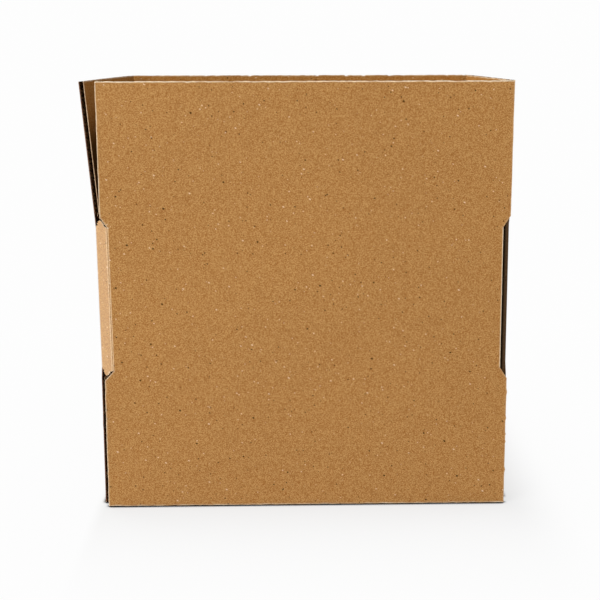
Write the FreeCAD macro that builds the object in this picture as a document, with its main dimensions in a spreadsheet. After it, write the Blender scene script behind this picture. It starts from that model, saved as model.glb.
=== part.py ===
import FreeCAD, Part

import math
import os

# An erected slotted carton of single-wall corrugated board, open at both ends.
# Millimetres. X runs along the length, Y from the front panel to the back, Z up.
# The origin is on the floor, under the middle of the whole object's outline.
# Each crease is one line on the outer face of the board, and each flap turns about it.

DRIVING_SIZES = {
    # Inside of the carton, between the inner faces of its walls
    "inner_length": 250.0,
    "inner_width": 160.0,
    # Crease to crease, and crease to the flap's free edge
    "wall_height": 102.8,
    "flap_length": 82.2,
    # The board: two flat liners and the fluted medium between them
    "board": 3.2,
    "liner": 0.4,
    "medium": 0.3,
    "flute_pitch": 6.4,
    "flute_crest": 1.4,
    # How deep the last flute is open where a cut runs along it
    "open_flute_depth": 2.0,
    # Upright folds: how far the soft bend reaches along each wall, and its first easy facet
    "corner_reach": 8.1,
    "corner_lip": 2.1,
    "corner_lip_rise": 0.85,
    # Creases: the crushed root of a flap and its clearance from the wall
    "crushed_root": 5.5,
    "crease_gap": 0.4,
    # Slots: where the flaps' side edges stand back from the carton's outer planes
    "long_flap_inset": 4.1,
    "short_flap_inset": 6.5,
    # The ear where a long flap runs on past the fold, down to the fold line
    "ear_drop": 7.0,
    # The glued joint: cut edge of the front panel, its flaps' edge, and the tab behind it
    "joint_edge_inset": 5.7,
    "joint_flap_inset": 1.3,
    "tab_length": 35.0,
    "tab_trim": 4.5,
    "tab_taper": 7.0,
    # Degrees that each top flap leans outwards from upright
    "front_lean_angle": 1.5,
    "back_lean_angle": 0.3,
    "left_lean_angle": 4.9,
    "right_lean_angle": 0.8,
}

SHEET = "Sizes"


def make_sheet(doc):
    sheet = doc.addObject("Spreadsheet::Sheet", SHEET)
    for row, (alias, value) in enumerate(DRIVING_SIZES.items(), start=1):
        sheet.set(f"A{row}", alias)
        sheet.set(f"B{row}", str(value))
        sheet.setAlias(f"B{row}", alias)
    doc.recompute()
    return sheet


class Carton:
    """The sizes of the sheet, and the planes that follow from them."""

    def __init__(self, sheet):
        for alias in DRIVING_SIZES:
            setattr(self, alias, float(getattr(sheet, alias)))
        # Outer planes of the walls, and the heights of the two rings of creases
        self.side_plane = self.inner_length / 2 + self.board
        self.front_plane = self.inner_width / 2 + self.board
        self.low_crease = self.flap_length
        self.high_crease = self.flap_length + self.wall_height
        # The leaning flaps reach unequally far, so the outline's middle is off the carton's own
        left, right, front, back = (
            self.flap_length * math.sin(math.radians(lean))
            for lean in self.lean_angles()
        )
        self.centre_shift = FreeCAD.Vector((left - right) / 2, (front - back) / 2, 0)

    def lean_angles(self):
        return (
            self.left_lean_angle,
            self.right_lean_angle,
            self.front_lean_angle,
            self.back_lean_angle,
        )


# Plan of the folded strip

def folded_corner(carton, corner, along, after):
    """Outer line of an upright fold, from the wall that runs along to the one after it."""
    reach = carton.corner_reach
    lip_start = reach - carton.corner_lip
    rise = carton.corner_lip_rise
    return [
        corner - along * reach,
        corner - along * lip_start + after * rise,
        corner - along * rise + after * lip_start,
        corner + after * reach,
    ]


def inset_line(points, distance):
    """The open line moved to its right by a distance, with mitred corners."""
    moved = []
    for index, point in enumerate(points):
        before = points[index] - points[index - 1] if index else points[1] - points[0]
        is_last = index == len(points) - 1
        beyond = before if is_last else points[index + 1] - points[index]
        normal_before = FreeCAD.Vector(before.y, -before.x, 0).normalize()
        normal_beyond = FreeCAD.Vector(beyond.y, -beyond.x, 0).normalize()
        middle = normal_before + normal_beyond
        moved.append(point + middle * (2 * distance / middle.Length**2))
    return moved


def strip_face(points, thickness):
    """A flat section of board whose outer face follows the points."""
    outline = points + inset_line(points, thickness)[::-1]
    return Part.Face(Part.makePolygon(outline + outline[:1]))


def wall_section(carton):
    """Front panel, left, back and right walls, up to the middle of the right wall."""
    side, front = carton.side_plane, carton.front_plane
    west, north, east = (FreeCAD.Vector(-1, 0, 0), FreeCAD.Vector(0, 1, 0), FreeCAD.Vector(1, 0, 0))
    south = -north
    points = [FreeCAD.Vector(side - carton.joint_edge_inset, -front, 0)]
    points += folded_corner(carton, FreeCAD.Vector(-side, -front, 0), west, north)
    points += folded_corner(carton, FreeCAD.Vector(-side, front, 0), north, east)
    points += folded_corner(carton, FreeCAD.Vector(side, front, 0), east, south)
    points.append(FreeCAD.Vector(side, 0, 0))
    return strip_face(points, carton.board)


def tab_section(carton):
    """The rest of the right wall, its front fold, and the tab behind the front panel."""
    side = carton.side_plane
    tab_plane = -carton.front_plane + carton.board
    west, south = FreeCAD.Vector(-1, 0, 0), FreeCAD.Vector(0, -1, 0)
    points = [FreeCAD.Vector(side, 0, 0)]
    points += folded_corner(carton, FreeCAD.Vector(side, tab_plane, 0), south, west)
    points.append(FreeCAD.Vector(side - carton.tab_length, tab_plane, 0))
    return strip_face(points, carton.board)


# Flap places

def flap_plan(carton):
    """For each flap its turn about Z, its outer plane, its two side edges and its lean.

    The edges are measured along the flap's own width, from the carton's middle.
    """
    side, front = carton.side_plane, carton.front_plane
    long_edge = side - carton.long_flap_inset
    joint_edge = side - carton.joint_flap_inset
    short_edge = front - carton.short_flap_inset
    tab_side_edge = short_edge - carton.board
    plan = {
        "front": (180, front, -joint_edge, long_edge),
        "back": (0, front, -long_edge, long_edge),
        "left": (90, side, -short_edge, short_edge),
        "right": (-90, side, -short_edge, tab_side_edge),
    }
    leans = {
        "front": carton.front_lean_angle,
        "back": carton.back_lean_angle,
        "left": carton.left_lean_angle,
        "right": carton.right_lean_angle,
    }
    places = []
    for wall, (turn, plane, start, end) in plan.items():
        places.append((f"top_{wall}_flap", turn, plane, start, end, leans[wall], False))
        places.append((f"bottom_{wall}_flap", turn, plane, -end, -start, 0.0, True))
    return places


def crease_placement(carton, turn, plane, is_bottom):
    """The crease's own frame: X along it, Y outwards, Z away from the wall."""
    spin = FreeCAD.Rotation(FreeCAD.Vector(0, 0, 1), turn)
    if is_bottom:
        spin = spin * FreeCAD.Rotation(FreeCAD.Vector(0, 1, 0), 180)
    height = carton.low_crease if is_bottom else carton.high_crease
    outward = FreeCAD.Rotation(FreeCAD.Vector(0, 0, 1), turn).multVec(FreeCAD.Vector(0, plane, 0))
    return FreeCAD.Placement(outward + FreeCAD.Vector(0, 0, height), spin)


# Document objects

def add_extrusion(doc, name, face, direction, length):
    profile = doc.addObject("Part::Feature", f"{name}_profile")
    profile.Shape = face
    body = doc.addObject("Part::Extrusion", name)
    body.Base = profile
    body.DirMode = "Custom"
    body.Dir = direction
    body.Solid = True
    body.setExpression("LengthFwd", length)
    return body


def add_crease_cutter(doc, name, width, start, placement, gap):
    """A square bar on its edge, which leaves both sides of a crease at 45 degrees."""
    cutter = doc.addObject("Part::Box", name)
    cutter.Length = width
    cutter.setExpression("Width", f"{SHEET}.board * 2")
    cutter.setExpression("Height", f"{SHEET}.board * 2")
    on_edge = FreeCAD.Rotation(FreeCAD.Vector(1, 0, 0), 135)
    local = FreeCAD.Placement(FreeCAD.Vector(start, 0, gap), on_edge)
    cutter.Placement = placement * local
    return cutter


# Sub-part: the four walls

def ear_faces(carton, plane, edges, fold_edges):
    """Where a panel runs on past its folds into the long flaps, at both ends of the wall."""
    low, high = carton.low_crease, carton.high_crease
    drop = carton.ear_drop
    faces = []
    for edge, fold in zip(edges, fold_edges):
        for crease, inwards in ((high, -drop), (low, drop)):
            corners = [(fold, crease), (edge, crease), (fold, crease + inwards)]
            outline = [FreeCAD.Vector(x, plane, z) for x, z in corners]
            faces.append(Part.Face(Part.makePolygon(outline + outline[:1])))
    return faces


def tab_trims(carton):
    """The slanting waste above and below the glued tab."""
    side, board = carton.side_plane, carton.board
    fold = side - board
    tip = side - carton.tab_length - board
    plane = -carton.front_plane + board
    trims = []
    for crease, inwards in ((carton.high_crease, -1), (carton.low_crease, 1)):
        root = crease + inwards * carton.tab_trim
        end = crease + inwards * (carton.tab_trim + carton.tab_taper)
        corners = [(fold, crease), (tip, crease), (tip, end), (fold, root)]
        outline = [FreeCAD.Vector(x, plane, z) for x, z in corners]
        trims.append(Part.Face(Part.makePolygon(outline + outline[:1])))
    return trims


def open_flutes(carton):
    """Plan of the flutes that lie open along the panel's and the tab's upright cut edges."""
    side, board, depth = carton.side_plane, carton.board, carton.open_flute_depth
    slant = carton.flute_crest / 2
    voids = []
    panel_edge = side - carton.joint_edge_inset
    tab_edge = side - carton.tab_length
    for edge, inwards, outer in (
        (panel_edge, -1, -carton.front_plane),
        (tab_edge, 1, -carton.front_plane + board),
    ):
        near, far = outer + carton.liner, outer + board - carton.liner
        bottom = edge + inwards * depth
        mouth = edge - inwards * depth
        corners = [(mouth, near), (bottom + inwards * slant, near), (bottom, far), (mouth, far)]
        outline = [FreeCAD.Vector(x, y, carton.low_crease) for x, y in corners]
        voids.append(Part.Face(Part.makePolygon(outline + outline[:1])))
    return Part.makeCompound(voids)


def add_wall_sleeve(doc, carton):
    up = FreeCAD.Vector(0, 0, 1)
    back_to_front = FreeCAD.Vector(0, -1, 0)
    front_to_back = FreeCAD.Vector(0, 1, 0)
    side, front = carton.side_plane, carton.front_plane
    floor_to_crease = FreeCAD.Placement(FreeCAD.Vector(0, 0, carton.low_crease), FreeCAD.Rotation())

    walls = add_extrusion(doc, "walls", wall_section(carton), up, f"{SHEET}.wall_height")
    walls.Placement = floor_to_crease
    tab_wall = add_extrusion(doc, "tab_wall", tab_section(carton), up, f"{SHEET}.wall_height")
    tab_wall.Placement = floor_to_crease

    trims = Part.makeCompound(tab_trims(carton))
    trim_length = f"{SHEET}.board"
    tab_waste = add_extrusion(doc, "tab_waste", trims, front_to_back, trim_length)
    trimmed_tab = doc.addObject("Part::Cut", "trimmed_tab")
    trimmed_tab.Base = tab_wall
    trimmed_tab.Tool = tab_waste

    fold = side - carton.corner_reach
    cut_edge = side - carton.joint_edge_inset
    long_edge = side - carton.long_flap_inset
    joint_edge = side - carton.joint_flap_inset
    front_ears = ear_faces(carton, -front, (-long_edge, joint_edge), (-fold, cut_edge))
    back_ears = ear_faces(carton, front, (-long_edge, long_edge), (-fold, fold))
    ears = [
        add_extrusion(doc, "front_ears", Part.makeCompound(front_ears), front_to_back, f"{SHEET}.board"),
        add_extrusion(doc, "back_ears", Part.makeCompound(back_ears), back_to_front, f"{SHEET}.board"),
    ]
    folded = doc.addObject("Part::MultiFuse", "folded_walls")
    folded.Shapes = [walls, trimmed_tab] + ears
    folded.Refine = True

    cutters = []
    for name, turn, plane, start, end, _, is_bottom in flap_plan(carton):
        placement = crease_placement(carton, turn, plane, is_bottom)
        cutters.append(add_crease_cutter(doc, f"{name}_groove", end - start, start, placement, 0))
    edge_flutes = add_extrusion(doc, "edge_flutes", open_flutes(carton), up, f"{SHEET}.wall_height")
    grooves = doc.addObject("Part::Compound", "grooves")
    grooves.Links = cutters + [edge_flutes]

    sleeve = doc.addObject("Part::Cut", "wall_sleeve")
    sleeve.Base = folded
    sleeve.Tool = grooves
    sleeve.Refine = True
    sleeve.Label = "wall_sleeve"
    return sleeve


# Sub-parts: the flaps

def flute_voids(carton, start, end):
    """The open channels of the board, on alternate sides of the fluted medium."""
    wide = (carton.flute_pitch - carton.flute_crest) / 2
    narrow = (carton.flute_crest - carton.medium) / 2
    outer_line, inner_line = -carton.liner, carton.liner - carton.board
    half_pitch = carton.flute_pitch / 2
    first = math.floor(start / half_pitch)
    last = math.ceil(end / half_pitch)
    voids = []
    for step in range(first, last + 1):
        middle = step * half_pitch
        on_outer = step % 2 == 0
        foot = outer_line if on_outer else inner_line
        tip = inner_line + carton.medium if on_outer else outer_line - carton.medium
        corners = [(-wide, foot), (wide, foot), (narrow, tip), (-narrow, tip)]
        outline = [FreeCAD.Vector(middle + x, y, carton.crushed_root) for x, y in corners]
        voids.append(Part.Face(Part.makePolygon(outline + outline[:1])))
    return Part.makeCompound(voids)


def add_flap(doc, carton, name, turn, plane, start, end, lean, is_bottom):
    """One flap in its crease's frame: blank, slanted root, and open flutes above the root."""
    crease = FreeCAD.Placement()
    blank = doc.addObject("Part::Box", f"{name}_blank")
    blank.Length = end - start
    blank.setExpression("Width", f"{SHEET}.board")
    blank.setExpression("Height", f"{SHEET}.flap_length - {SHEET}.crease_gap")
    blank.Placement.Base = FreeCAD.Vector(start, -carton.board, carton.crease_gap)

    root = add_crease_cutter(doc, f"{name}_root", end - start, start, crease, carton.crease_gap)
    channels = add_extrusion(
        doc, f"{name}_flutes", flute_voids(carton, start, end),
        FreeCAD.Vector(0, 0, 1), f"{SHEET}.flap_length",
    )
    waste = doc.addObject("Part::Compound", f"{name}_waste")
    waste.Links = [root, channels]

    flap = doc.addObject("Part::Cut", name)
    flap.Base = blank
    flap.Tool = waste
    flap.Label = name
    tilt = FreeCAD.Placement(FreeCAD.Vector(), FreeCAD.Rotation(FreeCAD.Vector(1, 0, 0), -lean))
    flap.Placement = crease_placement(carton, turn, plane, is_bottom) * tilt
    return flap


# Build

def check_objects(doc, parts):
    for item in doc.Objects:
        if "Invalid" in item.State or "Error" in item.State:
            raise RuntimeError(f"{item.Name} did not build")
    for item in parts:
        shape = item.Shape
        if shape.isNull() or not shape.isValid() or len(shape.Solids) != 1:
            raise RuntimeError(f"{item.Label} is not one valid solid")


def main():
    doc = FreeCAD.newDocument("Carton")
    carton = Carton(make_sheet(doc))
    parts = [add_wall_sleeve(doc, carton)]
    for place in flap_plan(carton):
        parts.append(add_flap(doc, carton, *place))
    shift = FreeCAD.Placement(carton.centre_shift, FreeCAD.Rotation())
    for item in parts:
        item.Placement = shift * item.Placement
    doc.recompute()
    check_objects(doc, parts)
    os.makedirs("parts", exist_ok=True)
    for item in parts:
        item.Shape.exportStep(f"parts/{item.Label}.step")
        box = item.Shape.BoundBox
        print(item.Label, round(item.Shape.Volume, 1), len(item.Shape.Faces), box)


main()
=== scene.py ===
import math

import bmesh
import bpy
from mathutils import Matrix, Vector, noise


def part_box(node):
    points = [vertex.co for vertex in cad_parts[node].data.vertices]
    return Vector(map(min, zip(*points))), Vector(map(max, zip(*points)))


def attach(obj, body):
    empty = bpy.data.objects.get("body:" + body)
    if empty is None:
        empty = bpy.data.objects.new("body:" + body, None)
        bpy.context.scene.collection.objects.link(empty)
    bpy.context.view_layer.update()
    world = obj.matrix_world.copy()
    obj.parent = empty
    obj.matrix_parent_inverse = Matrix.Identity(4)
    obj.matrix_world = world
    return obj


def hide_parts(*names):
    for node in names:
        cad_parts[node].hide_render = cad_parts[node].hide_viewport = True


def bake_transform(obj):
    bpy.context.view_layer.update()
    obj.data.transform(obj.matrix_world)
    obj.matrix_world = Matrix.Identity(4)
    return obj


# A slotted carton of kraft board that stands squared up on its open flaps.
# Metres. X runs along the length, Y from the front panel to the back, Z up.

MM = 0.001

# The board: two liners and the fluted medium between them
BOARD = 3.2 * MM
LINER = 0.42 * MM
MEDIUM = 0.28 * MM
GLUE_GAP = 0.01 * MM
FLUTE_PITCH = 6.4 * MM
FLUTE_REACH = (BOARD - 2 * LINER - MEDIUM) / 2 - GLUE_GAP
FLUTE_SIDES = 10
# How far from a flap's side edge the medium first meets the outer liner
FLUTE_START = 0.65 * MM

# The upright folds: the soft bend's reach along each wall, and its first easy facet
CORNER_REACH = 9.0 * MM
CORNER_LIP = 1.4 * MM
CORNER_LIP_RISE = 0.57 * MM
# How far the left wall and its lower flap have shifted inwards at the lower creases
LEFT_SLANT = 1.2 * MM

# The creases: half the width that bends, and the pressed groove across it
FOLD_HALF = 3.5 * MM
GROOVE_SHARE = 0.42
GROOVE_HALF = 1.7 * MM

# The ears that slant from each flap's side edges to the upright folds
EAR_DROP = 7.0 * MM
EAR_UNDERCUT = 0.8 * MM
EAR_SLIT = 1.9 * MM
LEAST_SLIT = 0.08 * MM

# The glued joint at the front right
JOINT_EDGE_INSET = 5.7 * MM
TAB_LENGTH = 35.0 * MM
TAB_TRIM = 4.5 * MM
TAB_TAPER = 7.0 * MM

# Cut edges: pale torn fibres along them, and how ragged the knife left them
EDGE_BAND = 0.7 * MM
EDGE_RAGGED = 0.2 * MM
SIDE_WAVE = 3.7 * MM
FREE_WAVE = 5.3 * MM
TEAR_WAVE = 3.1 * MM
FREE_WEAR_WAVE = 7 * MM
SIDE_WEAR_WAVE = 6 * MM
# How far the free edges end inside the solids' outline, at the floor and at the top
FLOOR_GAP = 0.35 * MM
TOP_GAP = 0.03 * MM
# How far from a free edge its raggedness moves the board
TRIM_REACH = 3 * MM

# Distances between the meshes' columns and rows
FINE_STEP = FLUTE_PITCH / 6
COARSE_STEP = 6 * MM
WALL_STEP = 4 * MM
BEND_STEP = 0.5 * MM
INNER_BEND_STEP = 1.05 * MM
# How far a flap's columns run past its side edges, which then clip them
PAST_EDGE = 1.2 * MM
# The share of the tab's height between two of its rows
TAB_ROW_SHARE = 0.05

# Wear above 0 mixes in a material's worn colour: pale torn fibres on the liners, painted shade on the
# medium.
# Wear below 0 is painted shade. An upright fold is a little pale, with a paler line at each bend:
# stretched fibres, and partly painted sheen and highlight.
FOLD_PALE_AND_SHEEN = 0.13
FOLD_BAND = 0.45 * MM
FOLD_WEAR_AND_HIGHLIGHT_LINES = (0.75, 0.6, 0.3, 0.4)
# How far the medium's painted shade grows from the flute that is open at a side edge
FLUTE_PAINTED_SHADE = 2.5 * MM
# The painted shade in the strip beside the glued joint, and how it eases
JOINT_PAINTED_SHADE_STEP = 1.4 * MM
JOINT_PAINTED_SHADE = 0.985
JOINT_EASE = 0.26
# Painted shade on the left flap's inside, which shows only where other boards stand this near
INNER_SHADE_REACH = 80 * MM
INNER_PAINTED_SHADE = 0.85
INNER_PAINTED_SHADE_TOP = 70 * MM
INNER_PAINTED_SHADE_FADE = 32 * MM
INNER_PAINTED_SHADE_DEPTH = 22 * MM
# The attribute holds wear above 0 and painted shade below 0

UV_NAME = "sheet"
WEAR_AND_SHADE_NAME = "wear"
# Each layer reads its own part of the grain
OUTER_LIFT = 0.0
INNER_LIFT = 0.35
MEDIUM_LIFT = 0.68

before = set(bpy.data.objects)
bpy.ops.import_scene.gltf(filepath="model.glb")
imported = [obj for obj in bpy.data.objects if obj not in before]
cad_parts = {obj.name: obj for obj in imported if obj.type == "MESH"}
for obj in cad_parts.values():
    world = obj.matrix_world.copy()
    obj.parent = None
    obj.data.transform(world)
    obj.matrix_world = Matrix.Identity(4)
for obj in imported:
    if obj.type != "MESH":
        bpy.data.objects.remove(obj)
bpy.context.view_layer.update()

# Planes of the walls, and the heights of the two rings of creases
sleeve_low, sleeve_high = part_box("wall_sleeve")
LEFT, RIGHT = sleeve_low.x, sleeve_high.x
FRONT, BACK = sleeve_low.y, sleeve_high.y
LOW_CREASE, HIGH_CREASE = sleeve_low.z, sleeve_high.z
FLAP_LENGTH = LOW_CREASE
CUT_EDGE = RIGHT - JOINT_EDGE_INSET
TAB_PLANE = FRONT + BOARD

WEST, EAST = Vector((-1, 0, 0)), Vector((1, 0, 0))
SOUTH, NORTH = Vector((0, -1, 0)), Vector((0, 1, 0))
UP = Vector((0, 0, 1))

# Places, reach and half length of the torn bumps on the flaps' side edges, from the crease
BUMPS = {
    ("bottom_left_flap", 0): [(29 * MM, 1.0 * MM, 2.4 * MM)],
    ("bottom_front_flap", 0): [
        (9 * MM, 0.5 * MM, 1.6 * MM),
        (26 * MM, 0.4 * MM, 1.0 * MM),
        (36.5 * MM, 0.35 * MM, 0.7 * MM),
        (41.5 * MM, 0.4 * MM, 0.8 * MM),
        (60 * MM, 0.5 * MM, 1.4 * MM),
    ],
}
# Where the meshes have rows at a bump, in half lengths from its middle
BUMP_ROWS = (-1.6, -0.9, -0.4, 0, 0.4, 0.9, 1.6)
# Strength of the pale line along each flap's free edge and its two side edges
EDGE_WEAR = {
    "top_front_flap": (1.35, 0.3, 0.9),
    "bottom_front_flap": (0.55, 0.3, 0.8),
    "top_left_flap": (0.6, 0.08, 0.3),
    "bottom_left_flap": (0.6, 0.0, 0.3),
}
USUAL_WEAR = (0.7, 0.4, 0.4)
INNER_WEAR = 0.75
# How strongly the free edges of the two front flaps are torn, and those of the others
FRONT_TEAR = 0.25
USUAL_TEAR = 1.3
# The lean of the warped side flaps at their rear edge, in degrees outwards
REAR_LEAN = {"top_left_flap": -1.8, "top_right_flap": -2.0}


def smoothstep(value):
    value = min(max(value, 0.0), 1.0)
    return value * value * (3 - 2 * value)


def ragged(place, seed, size, step):
    """A smooth random offset along an edge, the same in every run."""
    return size * noise.noise(Vector((place / step, 7.3 * seed, 3.1)))


def stepped(start, end, step):
    """Evenly spaced places from start to end, about a step apart."""
    count = max(1, round((end - start) / step))
    return [start + (end - start) * index / count for index in range(count + 1)]


def grain_mark(place, height, depth, lift, worn):
    """Where a point reads the sheet's grain, along it and across it, and its wear and painted shade."""
    return place + depth / 2, height + lift + depth / 2, worn


def slanted(point):
    """The point moved with the slight inward slant of the left wall and its fold."""
    side = smoothstep((LEFT + 4 * CORNER_REACH - point.x) / (3 * CORNER_REACH))
    fall = min(1.0, max(0.0, (HIGH_CREASE - point.z) / (HIGH_CREASE - LOW_CREASE)))
    rear = smoothstep((BACK - point.y) / (BACK - FRONT))
    return point + EAST * LEFT_SLANT * side * fall * rear


# The strip that the walls are folded from

def corner_points(corner, along, after):
    """The outer line of an upright fold, from the wall that runs along to the one after it."""
    lip_start = CORNER_REACH - CORNER_LIP
    return [
        corner - along * CORNER_REACH,
        corner - along * lip_start + after * CORNER_LIP_RISE,
        corner - along * CORNER_LIP_RISE + after * lip_start,
        corner + after * CORNER_REACH,
    ]


class Strip:
    """The outer line of the folded strip in plan, from the front panel's cut edge to the tab."""

    def __init__(self):
        self.points = [Vector((CUT_EDGE, FRONT, 0))]
        self.points += corner_points(Vector((LEFT, FRONT, 0)), WEST, NORTH)
        self.points += corner_points(Vector((LEFT, BACK, 0)), NORTH, EAST)
        self.points += corner_points(Vector((RIGHT, BACK, 0)), EAST, SOUTH)
        self.points += corner_points(Vector((RIGHT, TAB_PLANE, 0)), SOUTH, WEST)
        self.points.append(Vector((RIGHT - TAB_LENGTH, TAB_PLANE, 0)))
        self.places = [0.0]
        for before, point in zip(self.points, self.points[1:]):
            self.places.append(self.places[-1] + (point - before).length)
        self.inward = [self.mitre(index) for index in range(len(self.points))]

    def mitre(self, index):
        """The way inwards at a bend, long enough to keep the board's thickness."""
        last = len(self.points) - 1
        before = self.points[max(index, 1)] - self.points[max(index, 1) - 1]
        beyond = self.points[min(index, last - 1) + 1] - self.points[min(index, last - 1)]
        middle = before.cross(UP).normalized() + beyond.cross(UP).normalized()
        return middle * (2 / middle.length_squared)

    def at(self, place):
        index = 0
        while index < len(self.places) - 2 and place > self.places[index + 1]:
            index += 1
        start, end = self.places[index], self.places[index + 1]
        share = (place - start) / (end - start)
        point = self.points[index].lerp(self.points[index + 1], share)
        return point, self.inward[index].lerp(self.inward[index + 1], share)


strip = Strip()

# For each wall: the strip's direction along it, the way outwards, and its straight panel
PANELS = {
    "front": (WEST, SOUTH, 0),
    "left": (NORTH, WEST, 4),
    "back": (EAST, NORTH, 8),
    "right": (SOUTH, EAST, 12),
}
CORNERS = {"front_left": 1, "back_left": 5, "back_right": 9, "tab_corner": 13}


# Meshes

LINER_SLOT, INNER_SLOT, MEDIUM_SLOT, EDGE_SLOT = 0, 1, 2, 3
SHARP_ANGLE = math.radians(14)


class Sheets:
    """The points and faces of one piece of board, gathered layer by layer."""

    def __init__(self):
        self.points = []
        self.marks = []
        self.faces = []
        self.materials = []

    def add_slab(self, columns, rows, place, near, far, material, rim):
        """A closed layer. place(column, row, depth) gives a point and its mark (u, v, wear)."""
        known = {}
        grids = []
        for depth in (near, far):
            grid = []
            for column in columns:
                line = []
                for row in rows:
                    point, mark = place(column, row, depth(column, row))
                    key = tuple(round(value, 7) for value in point)
                    if key not in known:
                        known[key] = len(self.points)
                        self.points.append(point)
                        self.marks.append(mark)
                    line.append(known[key])
                grid.append(line)
            grids.append(grid)
        outer, inner = grids
        last_column, last_row = len(columns) - 1, len(rows) - 1
        for i in range(last_column):
            for j in range(last_row):
                for grid in (outer, inner):
                    loop = (grid[i][j], grid[i + 1][j], grid[i + 1][j + 1], grid[i][j + 1])
                    self.add_face(loop, material)
        ring = [(i, 0) for i in range(last_column)]
        ring += [(last_column, j) for j in range(last_row)]
        ring += [(i, last_row) for i in range(last_column, 0, -1)]
        ring += [(0, j) for j in range(last_row, 0, -1)]
        for (i, j), (k, m) in zip(ring, ring[1:] + ring[:1]):
            self.add_face((outer[i][j], outer[k][m], inner[k][m], inner[i][j]), rim)

    def add_face(self, loop, material):
        corners = []
        for index in loop:
            if index not in corners:
                corners.append(index)
        if len(corners) > 2:
            self.faces.append(corners)
            self.materials.append(material)

    def build(self, name):
        mesh = bpy.data.meshes.new(name)
        mesh.from_pydata(self.points, [], self.faces)
        for material in MATERIALS:
            mesh.materials.append(material)
        mesh.polygons.foreach_set("material_index", self.materials)
        uv_layer = mesh.uv_layers.new(name=UV_NAME)
        wear_layer = mesh.attributes.new(WEAR_AND_SHADE_NAME, "FLOAT", "POINT")
        for loop in mesh.loops:
            uv_layer.data[loop.index].uv = self.marks[loop.vertex_index][:2]
        wear_layer.data.foreach_set("value", [mark[2] for mark in self.marks])
        shape = bmesh.new()
        shape.from_mesh(mesh)
        bmesh.ops.recalc_face_normals(shape, faces=shape.faces)
        shape.to_mesh(mesh)
        shape.free()
        mesh.shade_smooth()
        mesh.set_sharp_from_angle(angle=SHARP_ANGLE)
        item = bpy.data.objects.new(name, mesh)
        bpy.context.scene.collection.objects.link(item)
        return item


def layer_depths(crush, first_flute):
    """Near and far depths of the outer liner, the medium and the inner liner."""
    def flute_middle(place):
        turn = 2 * math.pi * (place - first_flute) / FLUTE_PITCH
        return BOARD / 2 - FLUTE_REACH * math.cos(turn)

    return (
        (lambda c, r: 0.0, lambda c, r: LINER * crush(r)),
        (
            lambda c, r: (flute_middle(c) - MEDIUM / 2) * crush(r),
            lambda c, r: (flute_middle(c) + MEDIUM / 2) * crush(r),
        ),
        (lambda c, r: (BOARD - LINER) * crush(r), lambda c, r: BOARD * crush(r)),
    )


# Flaps

def groove(row):
    """The share of the board's thickness that the crease leaves."""
    return 1 - GROOVE_SHARE * math.exp(-((row / GROOVE_HALF) ** 2))


def edge_line(gap):
    """The strength of the pale line at a distance from a cut edge."""
    return min(1.0, max(0.0, 1.8 * (1 - gap / EDGE_BAND)))


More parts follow.
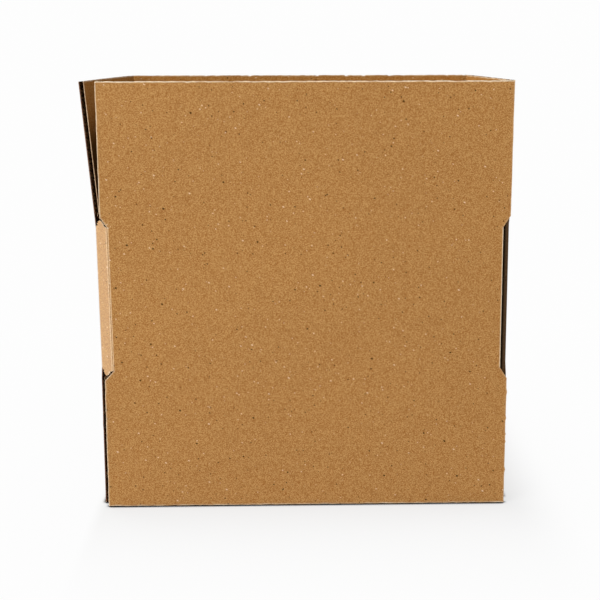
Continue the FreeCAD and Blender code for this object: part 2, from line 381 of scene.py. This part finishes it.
class Flap:
    """One flap and its root on the wall: u along the strip, h away from the crease."""

    def __init__(self, wall, is_top):
        self.name = ("top_" if is_top else "bottom_") + wall + "_flap"
        self.seed = 1 + sorted(PANELS).index(wall) + (10 if is_top else 0)
        self.along, self.outward, index = PANELS[wall]
        self.is_top = is_top
        self.crease = HIGH_CREASE if is_top else LOW_CREASE
        self.away = UP if is_top else -UP
        self.start = strip.points[index] + UP * self.crease
        self.strip_start = strip.places[index]
        self.feet = (0.0, strip.places[index + 1] - self.strip_start)
        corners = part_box(self.name)
        self.edges = sorted((corner - self.start).dot(self.along) for corner in corners)
        overhang = max((corner - self.start).dot(self.outward) for corner in corners)
        self.lean = math.asin(max(0.0, overhang) / FLAP_LENGTH)
        self.rear_lean = math.radians(REAR_LEAN.get(self.name, math.degrees(self.lean)))
        self.free_wear, *self.side_wear = EDGE_WEAR.get(self.name, USUAL_WEAR)
        self.free_tear = FRONT_TEAR if wall == "front" else USUAL_TEAR
        self.rear_side = 1 if self.along.y > 0 else 0

    def side_edge(self, side, h):
        """Where the flap's side ends: on the wall it slants in to the fold as an ear."""
        edge, foot = self.edges[side], self.feet[side]
        outwards = 1 if side else -1
        share = min(1.0, (h + EAR_DROP) / EAR_DROP)
        cut = ragged(h, self.seed + 3 * side, EDGE_RAGGED, SIDE_WAVE)
        for middle, reach, half in BUMPS.get((self.name, side), ()):
            cut += reach * math.exp(-(((h - middle) / half) ** 2))
        return foot + (edge - foot) * share + outwards * cut * smoothstep(share)

    def free_edge(self, u):
        """Where the flap ends away from its crease: a ragged line with loose fibres torn out."""
        gap = TOP_GAP if self.is_top else FLOOR_GAP
        cut = ragged(u, self.seed, 2 * EDGE_RAGGED, FREE_WAVE)
        torn = max(0.0, ragged(u, self.seed + 70, 5 * EDGE_RAGGED, TEAR_WAVE) - EDGE_RAGGED)
        return FLAP_LENGTH - gap - abs(cut) - torn * self.free_tear

    def lean_at(self, u):
        """The outward lean, which changes evenly from the front edge of a warped flap to its rear."""
        share = (u - self.edges[0]) / (self.edges[1] - self.edges[0])
        share = min(max(share, 0.0), 1.0)
        to_rear = share if self.rear_side else 1 - share
        return self.lean + (self.rear_lean - self.lean) * to_rear

    def wear(self, u, h, is_inner):
        """Pale lines along the cut edges of a liner, and painted shade on the left flap's inside."""
        worn = edge_line(self.free_edge(u) - h) * self.free_wear
        worn *= 0.8 + ragged(u, self.seed + 40, 0.9, FREE_WEAR_WAVE)
        for side in (0, 1):
            strength = self.side_wear[side]
            if is_inner:
                strength = 0.0 if side == self.rear_side else INNER_WEAR
            line = edge_line(abs(self.side_edge(side, h) - u)) * strength
            line *= 0.7 + ragged(h, self.seed + 50 + side, 0.6, SIDE_WEAR_WAVE)
            worn = max(worn, line)
        # Painted shade on the left flap's inside, lower down and near its front edge
        if is_inner and self.name == "top_left_flap":
            from_front = abs(self.edges[1 - self.rear_side] - u)
            near_front = smoothstep(2 - from_front / INNER_PAINTED_SHADE_DEPTH) * smoothstep(from_front / MM - 0.3)
            worn -= INNER_PAINTED_SHADE * smoothstep((INNER_PAINTED_SHADE_TOP - h) / INNER_PAINTED_SHADE_FADE) * near_front
        return min(1.0, worn)

    def flute_painted_shade(self, u, h):
        """How much painted shade a place of the medium takes from the flute open at a side edge."""
        gap = min(abs(self.side_edge(side, h) - u) for side in (0, 1))
        return smoothstep((FLUTE_PITCH + FLUTE_PAINTED_SHADE - gap) / FLUTE_PAINTED_SHADE)

    def place(self, u, h, depth, undercut, lift):
        """A point of one layer on the leaning flap or on its root, and its mark."""
        low, high = self.side_edge(0, h), self.side_edge(1, h)
        inset = undercut * smoothstep(-h / MM)
        u = min(max(u, low + inset), high - inset)
        trimmed = FLAP_LENGTH - self.free_edge(u)
        h -= trimmed * smoothstep((h - FLAP_LENGTH + TRIM_REACH) / TRIM_REACH)
        turn = self.lean_at(u) * smoothstep((h + FOLD_HALF) / (2 * FOLD_HALF))
        out = h * math.sin(turn) - depth * math.cos(turn)
        rise = h * math.cos(turn) + depth * math.sin(turn)
        point = self.start + self.along * u + self.outward * out + self.away * rise
        if self.name == "bottom_left_flap" or (h < 0 and self.outward == WEST):
            point = slanted(point)
        elif h < 0:
            point = slanted(point).lerp(point, smoothstep(1 + h / EAR_DROP))
        height = self.crease + (h if self.is_top else -h)
        worn = self.flute_painted_shade(u, h) if lift == MEDIUM_LIFT else self.wear(u, h, lift == INNER_LIFT)
        return point, grain_mark(self.strip_start + u, height, depth, lift, worn)

    def columns(self):
        """Places along the strip, close together beside both side edges."""
        low, high = min(self.edges[0], self.feet[0]), max(self.edges[1], self.feet[1])
        bands = (0.0, EDGE_BAND / 2, EDGE_BAND)
        places = [low - PAST_EDGE] + [low + band for band in bands]
        places += stepped(low + 2 * EDGE_BAND, high - 2 * EDGE_BAND, FINE_STEP)
        return places + [high - band for band in reversed(bands)] + [high + PAST_EDGE]

    def liner_rows(self):
        """Heights on the flat of the flap, close together at its torn bumps."""
        rows = stepped(FOLD_HALF + 1.5 * MM, FLAP_LENGTH - 4 * MM, COARSE_STEP)
        rows += [FLAP_LENGTH - TRIM_REACH, FLAP_LENGTH - 2 * EDGE_BAND]
        for side in (0, 1):
            for middle, _, half in BUMPS.get((self.name, side), ()):
                rows += [middle + half * share for share in BUMP_ROWS]
        return sorted(rows)

    def build(self):
        board = Sheets()
        bend = stepped(-EAR_DROP, FOLD_HALF, BEND_STEP)
        inner_bend = stepped(-EAR_DROP, FOLD_HALF, INNER_BEND_STEP)
        top = [FLAP_LENGTH - EDGE_BAND, FLAP_LENGTH - EDGE_BAND / 2, FLAP_LENGTH]
        body = self.liner_rows()
        medium_rows = inner_bend + stepped(FOLD_HALF + 2 * MM, FLAP_LENGTH - TRIM_REACH, 2 * COARSE_STEP)
        medium_rows.append(FLAP_LENGTH)
        columns = self.columns()
        waves = stepped(columns[0], columns[-1], FLUTE_PITCH / FLUTE_SIDES)
        outer, medium, inner = layer_depths(groove, self.edges[0] + FLUTE_START)

        def outer_place(u, h, depth):
            return self.place(u, h, depth, 0.0, OUTER_LIFT)

        def medium_place(u, h, depth):
            return self.place(u, h, depth, EAR_UNDERCUT, MEDIUM_LIFT)

        def inner_place(u, h, depth):
            return self.place(u, h, depth, EAR_UNDERCUT, INNER_LIFT)

        board.add_slab(columns, bend + body + top, outer_place, *outer, LINER_SLOT, EDGE_SLOT)
        board.add_slab(waves, medium_rows, medium_place, *medium, MEDIUM_SLOT, MEDIUM_SLOT)
        board.add_slab(columns, inner_bend + body + top, inner_place, *inner, INNER_SLOT, EDGE_SLOT)
        item = board.build(self.name + "_board")
        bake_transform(item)
        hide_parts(self.name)
        return item


# Walls

def corner_place_of(run):
    """The length along a fold's outer line that a run along the wall covers."""
    lip_length = math.hypot(CORNER_LIP, CORNER_LIP_RISE)
    if run <= CORNER_LIP:
        return run * lip_length / CORNER_LIP
    return lip_length + (run - CORNER_LIP) * math.sqrt(2)


def ear_run(overhang, z):
    """How much of a fold's outer liner an ear and the slit beside it leave open at a height."""
    from_crease = min(HIGH_CREASE - z, z - LOW_CREASE)
    share = 1 - from_crease / EAR_DROP
    if share <= 0:
        return 0.0
    slit = EAR_SLIT * (0.6 + ragged(from_crease, 11, 1.5, 1.2 * MM))
    return overhang * share + max(LEAST_SLIT, slit)


def fold_columns(first):
    """Places across a fold, with a narrow band beside each line of its facets."""
    places = []
    for index in range(first, first + 3):
        start, end = strip.places[index], strip.places[index + 1]
        places += [start, start + FOLD_BAND]
        places += stepped(start + 2 * FOLD_BAND, end - 2 * FOLD_BAND, 1.2 * MM)
        places.append(end - FOLD_BAND)
    return places + [strip.places[first + 3]]


def fold_wear_and_highlight(place, first):
    """Pale stretched fibres along the lines of a fold and across it, partly painted sheen and highlight.
    """
    # The pale fold is partly painted sheen, and its lines are partly painted highlights
    worn = FOLD_PALE_AND_SHEEN if strip.places[first] < place < strip.places[first + 3] else 0.0
    for index, strength in enumerate(FOLD_WEAR_AND_HIGHLIGHT_LINES):
        gap = abs(place - strip.places[first + index])
        worn = max(worn, strength * (1 - gap / FOLD_BAND))
    return worn


def add_strip_layers(board, columns, rows, place):
    """The three layers of a stretch of wall. place(lift) gives the function that sets its points."""
    waves = stepped(columns[0], columns[-1], FLUTE_PITCH / FLUTE_SIDES)
    outer, medium, inner = layer_depths(lambda row: 1.0, 0.0)
    board.add_slab(columns, rows, place(OUTER_LIFT), *outer, LINER_SLOT, EDGE_SLOT)
    board.add_slab(waves, rows, place(MEDIUM_LIFT), *medium, MEDIUM_SLOT, MEDIUM_SLOT)
    board.add_slab(columns, rows, place(INNER_LIFT), *inner, INNER_SLOT, EDGE_SLOT)


def add_panel(board, index, low, high):
    """The flat of one wall, between the roots of its two flaps."""
    start, end = strip.places[index], strip.places[index + 1]
    columns = [start, start + EDGE_BAND / 2, start + EDGE_BAND]
    columns += stepped(start + WALL_STEP, end - WALL_STEP, COARSE_STEP)
    columns += [end - EDGE_BAND, end - EDGE_BAND / 2, end]

    def place(lift):
        def point_at(column, z, depth):
            point, inward = strip.at(column)
            from_cut = column if index == 0 else EDGE_BAND
            # The medium in the walls is painted shade all through
            worn = 1.0 if lift == MEDIUM_LIFT else max(0.0, 1 - from_cut / EDGE_BAND)
            point = point + inward * depth + UP * z
            return slanted(point), grain_mark(column, z, depth, lift, worn)
        return point_at

    add_strip_layers(board, columns, stepped(low, high, WALL_STEP), place)


def add_fold(board, first, before, after):
    """An upright fold, with its outer liner cut away beside the flaps' ears."""
    start, end = strip.places[first], strip.places[first + 3]
    rows = stepped(LOW_CREASE, LOW_CREASE + EAR_DROP, BEND_STEP)
    rows += stepped(LOW_CREASE + EAR_DROP, HIGH_CREASE - EAR_DROP, WALL_STEP)[1:-1]
    rows += stepped(HIGH_CREASE - EAR_DROP, HIGH_CREASE, BEND_STEP)

    def place(lift):
        def point_at(column, z, depth):
            # The medium in the walls is painted shade all through
            worn = 1.0 if lift == MEDIUM_LIFT else fold_wear_and_highlight(column, first)
            if lift == OUTER_LIFT:
                low = start + corner_place_of(ear_run(before, z))
                high = end - corner_place_of(ear_run(after, z))
                column = min(max(column, low), high)
            point, inward = strip.at(column)
            point = point + inward * depth + UP * z
            return slanted(point), grain_mark(column, z, depth, lift, worn)
        return point_at

    add_strip_layers(board, fold_columns(first), rows, place)


def tab_height(x):
    """How far the tab stands back from the creases at a place along it."""
    return TAB_TRIM + TAB_TAPER * (RIGHT - BOARD - x) / TAB_LENGTH


def add_tab(board):
    """The joint's fold and the slanting tab that is glued behind the front panel."""
    first = CORNERS["tab_corner"]
    start, end = strip.places[first], strip.places[-1]
    trimmed = start
    while strip.at(trimmed)[0].x > RIGHT - BOARD:
        trimmed += 0.1 * MM
    full = [place for place in fold_columns(first) if place < trimmed] + [trimmed]
    cut = [trimmed] + [place for place in fold_columns(first) if place > trimmed]
    cut += stepped(strip.places[first + 3] + 2 * MM, end, WALL_STEP)

    def wear_at(lift, column, x):
        # The medium in the walls is painted shade all through
        if lift == MEDIUM_LIFT:
            return 1.0
        worn = 0.7 * max(0.0, 1 - (end - column) / EDGE_BAND)
        # Painted shade on the outer liner beside the front panel's cut edge, darkest next to it
        if lift == OUTER_LIFT:
            from_cut = (x - CUT_EDGE) / JOINT_PAINTED_SHADE_STEP
            worn -= JOINT_PAINTED_SHADE - JOINT_EASE * smoothstep((from_cut - 1.5) / 1.5)
        return worn

    def place_with(is_trimmed):
        def place(lift):
            def point_at(column, share, depth):
                point, inward = strip.at(column)
                back = tab_height(point.x) if is_trimmed else 0.0
                low, high = LOW_CREASE + back, HIGH_CREASE - back
                z = low + (high - low) * share
                worn = wear_at(lift, column, point.x)
                return point + inward * depth + UP * z, grain_mark(column, z, depth, lift, worn)
            return point_at
        return place

    shares = stepped(0.0, 1.0, TAB_ROW_SHARE)
    for columns, is_trimmed in ((full, False), (cut, True)):
        add_strip_layers(board, columns, shares, place_with(is_trimmed))


def build_walls():
    board = Sheets()
    low, high = LOW_CREASE + EAR_DROP, HIGH_CREASE - EAR_DROP
    for _, _, index in PANELS.values():
        add_panel(board, index, low, high)
    overhangs = {}
    for wall, (along, _, index) in PANELS.items():
        start, end = strip.points[index], strip.points[index + 1]
        ends = sorted((corner - start).dot(along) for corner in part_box(f"top_{wall}_flap"))
        overhangs[wall] = (-ends[0], ends[1] - (end - start).length)
    add_fold(board, CORNERS["front_left"], overhangs["front"][1], overhangs["left"][0])
    add_fold(board, CORNERS["back_left"], overhangs["left"][1], overhangs["back"][0])
    add_fold(board, CORNERS["back_right"], overhangs["back"][1], overhangs["right"][0])
    add_tab(board)
    item = board.build("wall_boards")
    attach(item, "walls")
    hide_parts("wall_sleeve")
    return item


# Materials

class Nodes:
    """A short way to add linked nodes. An input is given by its name, or by i and its number."""

    def __init__(self, material):
        self.tree = material.node_tree

    def add(self, kind, settings=None, **inputs):
        node = self.tree.nodes.new(kind)
        for name, value in (settings or {}).items():
            setattr(node, name, value)
        for name, value in inputs.items():
            key = int(name[1:]) if name[1:].isdigit() else name.replace("_", " ")
            socket = node.inputs[key]
            if isinstance(value, bpy.types.NodeSocket):
                self.tree.links.new(value, socket)
            else:
                socket.default_value = value
        return node

    def math(self, operation, *values):
        inputs = {f"i{index}": value for index, value in enumerate(values)}
        return self.add("ShaderNodeMath", {"operation": operation}, **inputs).outputs[0]

    def mix(self, share, one, other):
        node = self.add("ShaderNodeMix", {"data_type": "RGBA"}, i0=share, i6=one, i7=other)
        return node.outputs[2]

    def ramp(self, value, low, high, to_low=0.0, to_high=1.0):
        node = self.add(
            "ShaderNodeMapRange", {"interpolation_type": "SMOOTHSTEP"},
            i0=value, i1=low, i2=high, i3=to_low, i4=to_high,
        )
        return node.outputs[0]


# How much the grain changes red, green and blue, and how many grains lie in a metre
GRAIN = (1.0, 0.8, 0.34)
GRAIN_SCALE = 2600.0
# The darkest base colour that the grain may give
DARKEST = (0.01, 0.005, 0.003)
# Pale fibres and dark specks: cells in a metre, stretch, turn, greatest size and rarity
FIBRES = ((300.0, 1.8, 0.5, 0.00050, 14.0), (270.0, 1.2, -0.9, 0.00046, 12.0))
FIBRE_SHARE = 0.65
SPECKS = ((80.0, 1.2, 0.3, 0.00078, 2.4), (210.0, 1.3, 0.9, 0.00055, 4.0))
SPECK_SHARE = 0.9
# The least size of a speck in its cell, so that nothing is divided by 0
LEAST_REACH = 0.0001
ROUGHNESS = 0.82
SHEEN_ROUGHNESS = 0.4
RELIEF = 0.10 * MM
FLUTE_RELIEF = 0.12


def colour(red, green, blue):
    """A colour given in screen values from 0 to 255."""
    linear = []
    for value in (red, green, blue):
        share = value / 255
        linear.append(share / 12.92 if share <= 0.04045 else ((share + 0.055) / 1.055) ** 2.4)
    return (*linear, 1.0)


def add_specks(nodes, place, scale, stretch, turn, size, rarity):
    """Marks at random places: 1 in the middle of each and 0 outside it."""
    turned = nodes.add(
        "ShaderNodeMapping", {"vector_type": "TEXTURE"},
        Vector=place, Rotation=(0, 0, turn), Scale=(stretch, 1, 1),
    ).outputs[0]
    cells = nodes.add("ShaderNodeTexVoronoi", {"voronoi_dimensions": "2D"}, Vector=turned, Scale=scale)
    chance = nodes.add("ShaderNodeSeparateColor", None, Color=cells.outputs["Color"]).outputs[0]
    reach = nodes.math("MULTIPLY", nodes.math("POWER", chance, rarity), size * scale)
    reach = nodes.math("MAXIMUM", reach, LEAST_REACH)
    return nodes.ramp(nodes.math("DIVIDE", cells.outputs["Distance"], reach), 1.0, 0.45)


def kraft_material(name, base, worn, grain_share, bump_share, sheen, gloss):
    """Board of one base colour, with grain, fibres, dark specks, wear, painted shade and faint lines of
    flutes.
    """
    material = bpy.data.materials.new(name)
    material.use_nodes = True
    nodes = Nodes(material)
    shader = material.node_tree.nodes["Principled BSDF"]
    place = nodes.add("ShaderNodeUVMap", {"uv_map": UV_NAME}).outputs[0]

    def cloud(scale, detail):
        node = nodes.add(
            "ShaderNodeTexNoise", {"noise_dimensions": "2D"},
            Vector=place, Scale=scale, Detail=detail, Roughness=0.6,
        )
        return nodes.math("SUBTRACT", node.outputs[0], 0.5)

    cells = nodes.add(
        "ShaderNodeTexVoronoi", {"voronoi_dimensions": "2D"}, Vector=place, Scale=GRAIN_SCALE,
    ).outputs["Color"]
    fine = nodes.add("ShaderNodeSeparateColor", None, Color=cells).outputs[0]
    fine = nodes.math("SUBTRACT", fine, 0.5)
    level = nodes.math("MULTIPLY_ADD", cloud(11.0, 2.0), 0.08, 1.0)
    level = nodes.math("MULTIPLY_ADD", cloud(150.0, 3.0), 0.07, level)
    tone = nodes.add("ShaderNodeHueSaturation", None, Color=base, Value=level).outputs[0]
    grain = nodes.math("MULTIPLY", fine, grain_share)
    grain = nodes.add("ShaderNodeCombineXYZ", None, X=grain, Y=grain, Z=grain).outputs[0]
    tone = nodes.add(
        "ShaderNodeVectorMath", {"operation": "MULTIPLY_ADD"}, i0=grain, i1=GRAIN, i2=tone,
    ).outputs[0]
    tone = nodes.add(
        "ShaderNodeVectorMath", {"operation": "MAXIMUM"}, i0=tone, i1=DARKEST,
    ).outputs[0]
    fibres = nodes.math("MAXIMUM", *(add_specks(nodes, place, *values) for values in FIBRES))
    tone = nodes.mix(nodes.math("MULTIPLY", fibres, FIBRE_SHARE), tone, colour(250, 226, 192))
    specks = nodes.math("MAXIMUM", *(add_specks(nodes, place, *values) for values in SPECKS))
    tone = nodes.mix(nodes.math("MULTIPLY", specks, SPECK_SHARE), tone, colour(40, 22, 10))
    wear = nodes.add("ShaderNodeAttribute", {"attribute_name": WEAR_AND_SHADE_NAME}).outputs["Fac"]
    # Wear below 0 is painted shade, a near-black tone mixed into the colour
    shade = nodes.math("MAXIMUM", nodes.math("MULTIPLY", wear, -1.0), 0.0)
    # On the inner liner the painted shade shows only where other boards stand near
    if name == "kraft_inner_liner":
        near = nodes.add("ShaderNodeAmbientOcclusion", {"samples": 8}, Distance=INNER_SHADE_REACH)
        shade = nodes.math("MULTIPLY", shade, nodes.ramp(near.outputs["AO"], 0.8, 0.97, 1.0, 0.0))
    tone = nodes.mix(shade, tone, colour(10, 5, 2))
    wear = nodes.math("MAXIMUM", wear, 0.0)
    fray = nodes.math("MULTIPLY_ADD", cloud(700.0, 2.0), 1.1, 0.85)
    tone = nodes.mix(nodes.math("MULTIPLY", wear, fray), tone, worn)
    nodes.tree.links.new(tone, shader.inputs["Base Color"])
    shader.inputs["Roughness"].default_value = ROUGHNESS
    # Sheen and gloss fade out under the painted shade and on the dark specks
    lit = nodes.math("SUBTRACT", 1.0, nodes.math("MAXIMUM", shade, specks))
    for socket, most in (("Specular IOR Level", gloss), ("Sheen Weight", sheen)):
        shader.inputs[socket].default_value = most
        if most > 0:
            nodes.tree.links.new(nodes.math("MULTIPLY", lit, most), shader.inputs[socket])
    shader.inputs["Sheen Roughness"].default_value = SHEEN_ROUGHNESS
    flutes = nodes.add("ShaderNodeSeparateXYZ", None, Vector=place).outputs[0]
    flutes = nodes.math("SINE", nodes.math("MULTIPLY", flutes, 2 * math.pi / FLUTE_PITCH))
    relief = nodes.math("MULTIPLY_ADD", flutes, FLUTE_RELIEF, fine)
    bump = nodes.add(
        "ShaderNodeBump", None, Height=relief, Strength=bump_share, Distance=RELIEF,
    ).outputs[0]
    nodes.tree.links.new(bump, shader.inputs["Normal"])
    return material


PALE = colour(255, 236, 204)
# In the order of their slots in a mesh
MATERIALS = [
    kraft_material("kraft_liner", colour(175, 125, 66), PALE, 0.26, 0.4, 0.8, 0.28),
    kraft_material("kraft_inner_liner", colour(168, 118, 62), PALE, 0.24, 0.4, 0.0, 0.0),
    # The medium's worn colour is painted shade: dark in the open flutes and all through the walls
    kraft_material("kraft_medium", colour(112, 76, 44), colour(6, 3, 1), 0.15, 0.3, 0.0, 0.0),
    kraft_material("kraft_cut_edge", colour(122, 72, 36), colour(255, 226, 184), 0.2, 0.4, 0.1, 0.1),
]


# Stage, light and camera

WHITE = 0.985
FLOOR_GREY = 0.62
FLOOR_SIZE = 14.0
# The soft shade in front of the object: its strength at the object and how it fades
SHADE = 0.267
SHADE_REACH = 44 * MM
LEFT_SHADE_WIDTH = 10 * MM
RIGHT_SHADE_WIDTH = 45 * MM
# Under the box the floor grows less white, a painted shade that also lets its real shadow show, up to
# this depth inside its outline
UNDER_DEPTH = 45 * MM
UNDER_SHADE = 0.5
# Painted contact shadow: the floor is dark where a board stands this near to it
CONTACT_REACH = 4 * MM
PAINTED_CONTACT_SHADOW = (0.02, 0.02, 0.025, 1)
AMBIENT = 0.14


def seen_rays(nodes):
    """1 on rays that see the stage as a background: the camera's, mirrored and bent ones."""
    path = nodes.add("ShaderNodeLightPath")
    seen = nodes.math("MAXIMUM", path.outputs["Is Camera Ray"], path.outputs["Is Glossy Ray"])
    return nodes.math("MAXIMUM", seen, path.outputs["Is Transmission Ray"])


def floor_material():
    """A pale floor that fades to white away from the object, keeps its shadow, and has painted shade near
    the object and a painted contact shadow under its boards.
    """
    material = bpy.data.materials.new("pale_floor")
    material.use_nodes = True
    nodes = Nodes(material)
    tree = material.node_tree
    tree.nodes.remove(tree.nodes["Principled BSDF"])
    place = nodes.add("ShaderNodeNewGeometry").outputs["Position"]
    axes = nodes.add("ShaderNodeSeparateXYZ", None, Vector=place).outputs
    low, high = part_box("bottom_front_flap")

    def beyond(axis, start, end):
        before = nodes.math("MAXIMUM", nodes.math("SUBTRACT", start, axis), 0.0)
        after = nodes.math("MAXIMUM", nodes.math("SUBTRACT", axis, end), 0.0)
        return before, after

    left_gap, right_gap = beyond(axes[0], low.x, high.x)
    gap_x = nodes.math("ADD", left_gap, right_gap)
    gap_y = nodes.math("ADD", *beyond(axes[1], FRONT, BACK))
    away = nodes.math("MULTIPLY", gap_x, gap_x)
    away = nodes.math("SQRT", nodes.math("MULTIPLY_ADD", gap_y, gap_y, away))
    sideways = nodes.math(
        "MAXIMUM",
        nodes.math("DIVIDE", left_gap, LEFT_SHADE_WIDTH),
        nodes.math("DIVIDE", right_gap, RIGHT_SHADE_WIDTH),
    )
    inside = nodes.math("SUBTRACT", axes[0], low.x)
    for depth in (
        nodes.math("SUBTRACT", high.x, axes[0]),
        nodes.math("SUBTRACT", axes[1], FRONT),
        nodes.math("SUBTRACT", BACK, axes[1]),
    ):
        inside = nodes.math("MINIMUM", inside, depth)
    fading = nodes.math("EXPONENT", nodes.math("DIVIDE", away, -SHADE_REACH))
    beside = nodes.ramp(sideways, 0.0, 1.0, SHADE, 0.1 * SHADE)
    whiteness = nodes.math("SUBTRACT", 1.0, nodes.math("MULTIPLY", fading, beside))
    under = nodes.ramp(inside, 0.0, UNDER_DEPTH, 0.0, UNDER_SHADE)
    whiteness = nodes.math("SUBTRACT", whiteness, under)
    # Painted contact shadow, from an occlusion test near the floor
    nearness = nodes.add("ShaderNodeAmbientOcclusion", {"samples": 16}, Distance=CONTACT_REACH)
    clear = nodes.ramp(nearness.outputs["AO"], 0.55, 0.97)
    whiteness = nodes.math("MULTIPLY", whiteness, clear)
    white_share = nodes.math("MULTIPLY", whiteness, seen_rays(nodes))
    floor_tone = nodes.mix(clear, PAINTED_CONTACT_SHADOW, (FLOOR_GREY, FLOOR_GREY, FLOOR_GREY, 1))
    grey = nodes.add("ShaderNodeBsdfDiffuse", None, Color=floor_tone)
    glow = nodes.add("ShaderNodeEmission", None, Color=(WHITE, WHITE, WHITE, 1), Strength=1.0)
    mixed = nodes.add(
        "ShaderNodeMixShader", None, i0=white_share, i1=grey.outputs[0], i2=glow.outputs[0],
    )
    tree.links.new(mixed.outputs[0], tree.nodes["Material Output"].inputs["Surface"])
    return material


def build_floor():
    bpy.ops.mesh.primitive_plane_add(size=FLOOR_SIZE, location=(0, 0, 0))
    floor = bpy.context.object
    floor.name = "floor"
    floor.data.materials.append(floor_material())


def build_world():
    world = bpy.data.worlds.new("studio")
    world.use_nodes = True
    bpy.context.scene.world = world
    nodes = Nodes(world)
    background = world.node_tree.nodes["Background"]
    white = nodes.mix(seen_rays(nodes), (AMBIENT, AMBIENT, AMBIENT, 1), (WHITE, WHITE, WHITE, 1))
    world.node_tree.links.new(white, background.inputs["Color"])
    background.inputs["Strength"].default_value = 1.0


# Each lamp's name, azimuth, elevation, distance, size and power
LAMPS = [
    ("key_lamp", -55, 24, 4.6, 3.0, 232.0),
    ("front_fill", 14, 18, 4.6, 2.6, 34.0),
    ("back_fill", -140, 35, 3.0, 1.8, 40.0),
    ("right_fill", 122, 12, 3.0, 2.2, 40.0),
]
LAMP_TARGET = Vector((0, 0, 0.14))


def add_lamp(name, azimuth, elevation, distance, size, power):
    """A soft square lamp. Azimuth 0 is in front of the object and 90 to its right."""
    turn, rise = math.radians(azimuth), math.radians(elevation)
    way = Vector((
        math.sin(turn) * math.cos(rise),
        -math.cos(turn) * math.cos(rise),
        math.sin(rise),
    ))
    lamp = bpy.data.lights.new(name, "AREA")
    lamp.shape = "SQUARE"
    lamp.size = size
    lamp.energy = power
    item = bpy.data.objects.new(name, lamp)
    item.location = LAMP_TARGET + way * distance
    item.rotation_euler = way.to_track_quat("Z", "Y").to_euler()
    bpy.context.scene.collection.objects.link(item)


# The camera, in the photograph's own pixels and the object's millimetres
PHOTO_SIDE = 600
SENSOR = 36.0
FOCAL_PIXELS = 1149.5
OPTICAL_CENTRE = (315.0, 240.0)
CAMERA_PLACE = Vector((11.6, -776.4, 284.9)) * MM
PITCH, YAW, ROLL = (math.radians(angle) for angle in (9.35, 1.23, 0.12))


def build_camera():
    camera = bpy.data.cameras.new("camera")
    camera.sensor_width = SENSOR
    camera.lens = FOCAL_PIXELS / PHOTO_SIDE * SENSOR
    camera.shift_x = (PHOTO_SIDE / 2 - OPTICAL_CENTRE[0]) / PHOTO_SIDE
    camera.shift_y = (OPTICAL_CENTRE[1] - PHOTO_SIDE / 2) / PHOTO_SIDE
    item = bpy.data.objects.new("camera", camera)
    level_up = Vector((0, math.sin(PITCH), math.cos(PITCH)))
    right = math.cos(ROLL) * EAST - math.sin(ROLL) * level_up
    upward = math.sin(ROLL) * EAST + math.cos(ROLL) * level_up
    turned = Matrix((right, upward, right.cross(upward))).transposed().to_4x4()
    unturn = Matrix.Rotation(-YAW, 4, "Z")
    item.matrix_world = unturn @ Matrix.Translation(CAMERA_PLACE) @ turned
    bpy.context.scene.collection.objects.link(item)
    bpy.context.scene.camera = item


build_camera()
build_world()
build_floor()
for lamp_values in LAMPS:
    add_lamp(*lamp_values)

build_walls()
for wall in PANELS:
    Flap(wall, True).build()
    Flap(wall, False).build()

bpy.context.scene.view_settings.view_transform = "Standard"
